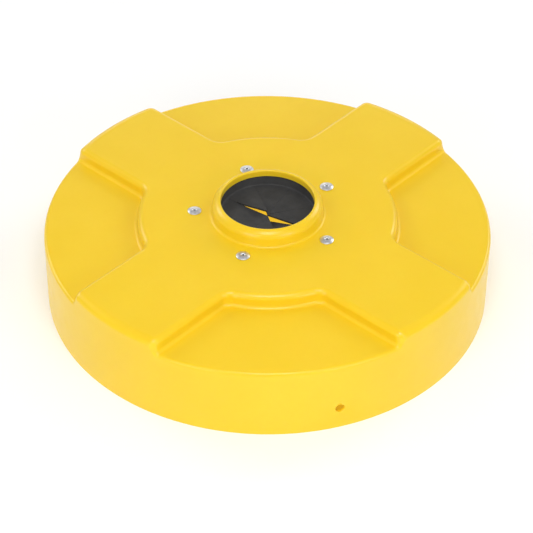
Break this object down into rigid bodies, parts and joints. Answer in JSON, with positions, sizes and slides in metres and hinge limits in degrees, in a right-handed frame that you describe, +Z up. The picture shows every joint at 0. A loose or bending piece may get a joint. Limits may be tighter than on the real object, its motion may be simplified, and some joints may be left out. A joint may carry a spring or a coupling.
{
  "type": "drum lid",
  "caption": "Slip-on drum lid with a raised cross-shaped deck, recessed sectors and a collared drop hole closed by a star-cut rubber diaphragm under blind rivets.",
  "frame": {"origin": "centre of the skirt's lower edge, on the surface the lid stands on", "axes": "+Z up through the drop hole, the recessed sectors on +-X and +-Y, the arms of the deck on the diagonals"},
  "size_m": [0.622, 0.622, 0.1503],
  "materials": {
    "shell": "satin moulded polyethylene",
    "rubber": "matt sheet rubber",
    "rivet": "bright",
    "steel": "zinc plated"
  },
  "bodies": {
    "lid": {"lid_shell": "shell", "diaphragm_ring": "rubber", "rivet_body_1": "rivet", "rivet_body_2": "rivet", "rivet_body_3": "rivet", "rivet_body_4": "rivet", "rivet_body_5": "rivet", "rivet_mandrel_1": "steel", "rivet_mandrel_2": "steel", "rivet_mandrel_3": "steel", "rivet_mandrel_4": "steel", "rivet_mandrel_5": "steel", "backing_washer_1": "steel", "backing_washer_2": "steel", "backing_washer_3": "steel", "backing_washer_4": "steel", "backing_washer_5": "steel"},
    "flap_1": {"flap_1": "rubber"},
    "flap_2": {"flap_2": "rubber"},
    "flap_3": {"flap_3": "rubber"},
    "flap_4": {"flap_4": "rubber"},
    "flap_5": {"flap_5": "rubber"},
    "flap_6": {"flap_6": "rubber"},
    "flap_7": {"flap_7": "rubber"},
    "flap_8": {"flap_8": "rubber"}
  },
  "joints": [
    {"name": "flap_1_bend", "type": "hinge", "parent": "lid", "child": "flap_1", "pos_m": [0.04896, 0.03365, 0.123], "axis": [0.5664, -0.8241, 0], "range_deg": [-37.5, 72.5], "stiffness_Nm_per_rad": 0.03, "springref_deg": -1.95},
    {"name": "flap_2_bend", "type": "hinge", "parent": "lid", "child": "flap_2", "pos_m": [0.01083, 0.05841, 0.123], "axis": [0.9833, -0.1822, 0], "range_deg": [-35.5, 74.5], "stiffness_Nm_per_rad": 0.03, "springref_deg": -1.95},
    {"name": "flap_3_bend", "type": "hinge", "parent": "lid", "child": "flap_3", "pos_m": [-0.03365, 0.04896, 0.123], "axis": [0.8241, 0.5664, 0], "range_deg": [-30, 80], "stiffness_Nm_per_rad": 0.03, "springref_deg": -1.94},
    {"name": "flap_4_bend", "type": "hinge", "parent": "lid", "child": "flap_4", "pos_m": [-0.05841, 0.01083, 0.123], "axis": [0.1822, 0.9833, 0], "range_deg": [-39.2, 70.8], "stiffness_Nm_per_rad": 0.03, "springref_deg": -1.95},
    {"name": "flap_5_bend", "type": "hinge", "parent": "lid", "child": "flap_5", "pos_m": [-0.04896, -0.03365, 0.123], "axis": [-0.5664, 0.8241, 0], "range_deg": [-38.4, 71.6], "stiffness_Nm_per_rad": 0.03, "springref_deg": -1.95},
    {"name": "flap_6_bend", "type": "hinge", "parent": "lid", "child": "flap_6", "pos_m": [-0.01083, -0.05841, 0.123], "axis": [-0.9833, 0.1822, 0], "range_deg": [-38.2, 71.8], "stiffness_Nm_per_rad": 0.03, "springref_deg": -1.95},
    {"name": "flap_7_bend", "type": "hinge", "parent": "lid", "child": "flap_7", "pos_m": [0.03365, -0.04896, 0.123], "axis": [-0.8241, -0.5664, 0], "range_deg": [-48.5, 61.5], "stiffness_Nm_per_rad": 0.03, "springref_deg": -1.9},
    {"name": "flap_8_bend", "type": "hinge", "parent": "lid", "child": "flap_8", "pos_m": [0.05841, -0.01083, 0.123], "axis": [-0.1822, -0.9833, 0], "range_deg": [-37.5, 72.5], "stiffness_Nm_per_rad": 0.03, "springref_deg": -1.95}
  ]
}
